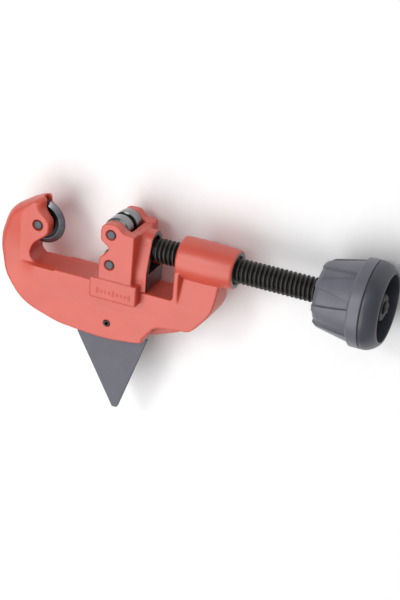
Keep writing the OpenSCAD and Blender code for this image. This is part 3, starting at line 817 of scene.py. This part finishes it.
# ---- Knob ----------------------------------------------------------------------------------------
def build_knob():
    """Tapered grip with eight wedge-shaped recesses, a rim band, and the hub inside its hollow end."""
    flutes, first = 8, math.radians(15.5)
    step_x, floor_x = 148.4, 148.0
    r0, r1, rim_r, hub_r = 14.6, 17.9, 14.4, 5.7
    recess, edge = 1.25, 0.20
    half_start, half_end = 16.5, 5.6
    x_flute1 = step_x - 1.1
    sector = math.pi / flutes
    bore_r = 3.52
    outer = rounded([(bore_r, KNOB_X0), (r0 - 1.0, KNOB_X0, 0.9), (r0 + 0.25, KNOB_X0 + 1.7, 2.0),
        (r1 - 0.1, step_x - 0.5, 0.5), (KNOB_R - 0.05, step_x - 0.1, 0.5), (KNOB_R, SEAM_X - 0.3, 0.25),
        (KNOB_R - 0.55, SEAM_X - 0.02)], closed=False, n=4)
    # More rows along the cone, so that the recesses have straight clean edges
    dense = []
    for (ra, xa), (rb, xb) in zip(outer, outer[1:]):
        count = max(1, int(abs(xb - xa) / 0.7))
        dense += [(ra + (rb - ra) * k / count, xa + (xb - xa) * k / count) for k in range(count)]
    inner = [(KNOB_R - 0.6, SEAM_X), (rim_r + 1.6, SEAM_X), (rim_r + 1.6, SEAM_X - 1.5),
        (rim_r, SEAM_X - 1.5), (rim_r - 0.2, floor_x + 1.0), (rim_r - 1.0, floor_x), (hub_r + 0.8, floor_x),
        (hub_r + 0.2, floor_x + 0.6), (hub_r, HUB_X1 - 0.6), (hub_r - 0.5, HUB_X1), (3.4, HUB_X1),
        (3.4, HUB_X1 - 0.6), (bore_r, HUB_X1 - 0.6)]
    profile = dense + [(KNOB_R - 0.55, SEAM_X - 0.02)] + inner

    def columns(x):
        """Angles of one sector's columns, and how deep each lies, at a place along the knob."""
        share = min(max((x - KNOB_X0) / (x_flute1 - KNOB_X0), 0), 1)
        half = math.radians(half_start + (half_end - half_start) * share)
        lip = edge / (r0 + (r1 - r0) * share)
        land = np.linspace(-sector, -half - lip, 5)[:-1]
        low = [-half - lip, -half - lip / 3, -half + lip / 3, -half + lip]
        mid = np.linspace(-half + lip, half - lip, 7)[1:-1]
        up = [half - lip, half - lip / 3, half + lip / 3, half + lip]
        end = np.linspace(half + lip, sector, 5)[1:-1]
        angles = np.concatenate([land, low, mid, up, end])
        wall = [0, 0.12, 0.88, 1]
        depth = np.concatenate([np.zeros(len(land)), wall, np.ones(len(mid)), wall[::-1], np.zeros(len(end))])
        return angles, depth

    points, ring_starts = [], []
    for r, x in profile:
        angles, depth = columns(x)
        on_outside = x < x_flute1 + 0.6 and r > r0 - 1.6 and x < SEAM_X - 4
        fade = 1 - step_up(np.array(x), x_flute1 - 0.45, x_flute1 + 0.25)
        ring_starts.append(len(points))
        for k in range(flutes):
            for a, d in zip(angles, depth):
                turn = first + a + 2 * sector * k
                low = r - recess * d * float(fade) if on_outside else r
                points.append((x, low * math.sin(turn), low * math.cos(turn)))
    width = len(columns(KNOB_X0)[0]) * flutes
    faces = []
    count = len(profile)
    for i in range(count):
        a, b = ring_starts[i], ring_starts[(i + 1) % count]
        for s in range(width):
            t = (s + 1) % width
            faces.append([a + s, b + s, b + t, a + t])
    grip = piece("knob_grip", points, faces, [NYLON, NYLON_HOLLOW_SHADE], "screw", "knob_body", 28)

    def end_recess(x, y, z, normals):
        return (x > floor_x - 0.5) & (np.hypot(y, z) < rim_r + 0.3)

    # The hollow end's floor and hub turn near-black nylon: painted shade inside the hollow
    paint_faces(grip, 1, end_recess)
    ring = [(rim_r, SEAM_X - 1.45), (rim_r + 1.55, SEAM_X - 1.45), (rim_r + 1.55, SEAM_X),
        (KNOB_R - 0.6, SEAM_X + 0.02), (KNOB_R - 0.08, SEAM_X + 0.35, 0.3),
        (KNOB_R - 0.1, SEAM_X + 1.6, 3), (KNOB_R - 0.6, SEAM_X + 3.2, 6),
        (KNOB_R - 1.5, SEAM_X + 4.8, 6), (KNOB_R - 2.7, SEAM_X + 6.2, 4), (KNOB_R - 3.7, KNOB_X1 - 0.05, 2),
        (rim_r + 0.1, KNOB_X1, 0.3), (rim_r, KNOB_X1 - 0.6)]
    turned_piece("knob_end", ring, 0, (0, 0, 0), NYLON_RING, "screw", "knob_end_ring",
        segments=128, sharp=40)


def build_reamer():
    """Triangular blade with a narrow chamfer all round and a bore for its pin."""
    lean, chamfer, around = math.radians(3.4), 0.2, 48
    reach = (PIVOT_Y - TIP_Y) / math.cos(lean)
    corners = [(-1.2, -reach, 0.5), (1.2, -reach, 0.5), (15.9, -8.8, 1.8), (12.4, -4.2, 3), (4.6, 4.6, 4),
        (-4.6, 4.6, 4), (-14.5, -4.6, 3), (-18.9, -10.4, 1.8)]
    outline = np.array(rounded(corners, n=6))
    count = len(outline)
    edge = np.roll(outline, -1, 0) - np.roll(outline, 1, 0)
    normal = np.stack([-edge[:, 1], edge[:, 0]], 1) / np.linalg.norm(edge, axis=1)[:, None]
    middle = np.array([0.0, -14.0])
    inward = np.where(((middle - outline) * normal).sum(1)[:, None] > 0, normal, -normal)
    cosine, sine = math.cos(lean), math.sin(lean)
    turn = np.array([[cosine, -sine], [sine, cosine]])
    angles = [2 * math.pi * i / around for i in range(around)]
    bore = [(PIVOT_BORE_R * math.cos(angle), PIVOT_BORE_R * math.sin(angle)) for angle in angles]
    rows = []
    for inset, z in ((0.0, chamfer - BLADE_HALF), (chamfer, -BLADE_HALF), (chamfer, BLADE_HALF),
            (0.0, BLADE_HALF - chamfer)):
        flat = (outline + inward * inset) @ turn.T
        rows.append([(PIVOT_X + a, PIVOT_Y + b, z) for a, b in flat])
    points = [p for row in rows for p in row]
    faces = []
    for i in range(count):
        j = (i + 1) % count
        for a, b in ((0, 1), (3, 0), (2, 3)):
            faces.append([a * count + i, a * count + j, b * count + j, b * count + i])
    for row, z in ((1, -BLADE_HALF), (2, BLADE_HALF)):
        base = len(points)
        hole = [(PIVOT_X + a, PIVOT_Y + b, z) for a, b in bore]
        points += hole
        ring = [row * count + i for i in range(count)]
        loop = ring + [base + i for i in range(around)]
        flat = tessellate_polygon([[Vector(points[i]) for i in ring], [Vector(p) for p in hole]])
        faces += [[loop[k] for k in tri] for tri in flat]
        if row == 1:
            low = base
        else:
            for i in range(around):
                j = (i + 1) % around
                faces.append([low + i, low + j, base + j, base + i])
    piece("reamer_plate", points, faces, [BLADE_STEEL], "reamer", "reamer_blade", 20)


# ---- Finishes and building -----------------------------------------------------------------------
RED = enamel("frame_enamel", (0.61, 0.072, 0.040))
RED_SLIDE = enamel("carriage_enamel", (0.60, 0.070, 0.040))
BARE_ZINC = blasted_metal("machined_zinc", (0.20, 0.20, 0.215), 0.42)
# Near black for the screw's bore and the collar's hollow: painted shade
PAINTED_SHADE_DARK = blasted_metal("painted_shade_dark", (0.035, 0.033, 0.033), 0.5, metallic=0.3)
# The wheel's recessed ring inside 7.9 mm is painted near black: painted shade of the slot
WHEEL_STEEL = turned_metal("wheel_steel", (0.17, 0.175, 0.195), AXLE, 2, (0.24, 0.36), inside=7.9)
ROLLER_SHINE = (0.25, 0.255, 0.27)
# The rollers' middle groove is painted near black: painted shade
UPPER_STEEL = turned_metal("upper_roller_steel", ROLLER_SHINE,
    AXLE + Vector((ROLLER_X, ROLLER_Y, 0)) * MM, 2, (0.10, 0.20), groove=1.4)
LOWER_STEEL = turned_metal("lower_roller_steel", ROLLER_SHINE,
    AXLE + Vector((ROLLER_X, -ROLLER_Y, 0)) * MM, 2, (0.10, 0.20), groove=1.4)
PIVOT_STEEL = blasted_metal("pivot_steel", (0.045, 0.043, 0.045), 0.5, metallic=0.6)
PIN_STEEL = blasted_metal("pin_steel", (0.10, 0.104, 0.118), 0.5, metallic=0.6)
BLACK_STEEL = black_oxide("black_oxide")
NYLON = nylon("grey_nylon", (0.125, 0.129, 0.155), 0.36)
NYLON_RING = nylon("dark_nylon", (0.050, 0.053, 0.068), 0.36)
# Near-black nylon inside the knob's hollow end: painted shade
NYLON_HOLLOW_SHADE = nylon("hollow_shade_nylon", (0.010, 0.010, 0.012), 0.5)
DARK_STEEL = blasted_metal("blued_steel", (0.055, 0.056, 0.062), 0.4, metallic=0.7)
BLADE_STEEL = blasted_metal("blade_steel", (0.13, 0.13, 0.155), 0.6, metallic=0.35)

build_frame()
build_carriage()
build_wheel()
build_rollers()
build_pins()
build_spindle()
build_knob()
build_reamer()

# CAD nodes that stay as they are and only take a finish
KEPT = {"wheel_pin": PIN_STEEL, "thrust_washer": PIN_STEEL, "nose_washer": PIN_STEEL,
    "retaining_ring": PIN_STEEL, "knob_washer": BLACK_STEEL, "knob_screw": DARK_STEEL,
    "reamer_pin": PIVOT_STEEL, "reamer_washer_front": PIN_STEEL, "reamer_washer_rear": PIN_STEEL}
for node_name, finish in KEPT.items():
    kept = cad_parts[node_name]
    kept.data.materials.clear()
    kept.data.materials.append(finish)


# ---- Studio --------------------------------------------------------------------------------------
def studio_floor():
    mesh = bpy.data.meshes.new("floor")
    reach = 6
    z = min(cad_lo.z, 0)
    mesh.from_pydata([(-reach, -reach, z), (reach, -reach, z), (reach, reach, z), (-reach, reach, z)], [],
        [(0, 1, 2, 3)])
    mesh.materials.append(floor_paper("studio_paper"))
    made = bpy.data.objects.new("floor", mesh)
    bpy.context.scene.collection.objects.link(made)


def softbox(name, direction, distance, size, power):
    """A square area light that looks at the tool's middle from a distance, in metres and watts."""
    data = bpy.data.lights.new(name, "AREA")
    data.shape = "SQUARE"
    data.size = size
    data.energy = power
    made = bpy.data.objects.new(name, data)
    bpy.context.scene.collection.objects.link(made)
    away = Vector(direction).normalized()
    target = (cad_lo + cad_hi) / 2
    made.location = target + away * distance
    made.rotation_mode = "QUATERNION"
    made.rotation_quaternion = away.to_track_quat("Z", "Y")


def studio():
    world = bpy.data.worlds.new("studio")
    world.use_nodes = True
    background = world.node_tree.nodes["Background"]
    background.inputs["Color"].default_value = (1, 1, 1, 1)
    background.inputs["Strength"].default_value = 0.33
    bpy.context.scene.world = world
    studio_floor()
    softbox("key", (-0.30, -0.25, 0.92), 1.1, 1.1, 9.6)
    softbox("top", (0.15, 0.62, 0.77), 1.2, 0.8, 1.6)
    softbox("gleam", (-0.33, 0.44, 0.84), 1.2, 0.32, 3.0)
    bpy.context.scene.view_settings.view_transform = "Standard"


def camera():
    """Long lens in front of the tool, above it and towards the knob's end."""
    data = bpy.data.cameras.new("camera")
    data.sensor_width = 36
    data.lens = 100.16
    data.clip_start, data.clip_end = 0.05, 20
    made = bpy.data.objects.new("camera", data)
    bpy.context.scene.collection.objects.link(made)
    tilt, swing, roll = -24.0657, 23.5221, 5.0511
    made.location = AXLE + Vector((313.398, 298.209, 604.920)) * MM
    made.rotation_euler = Euler((math.radians(tilt), math.radians(swing), math.radians(roll)))
    bpy.context.scene.camera = made


studio()
camera()
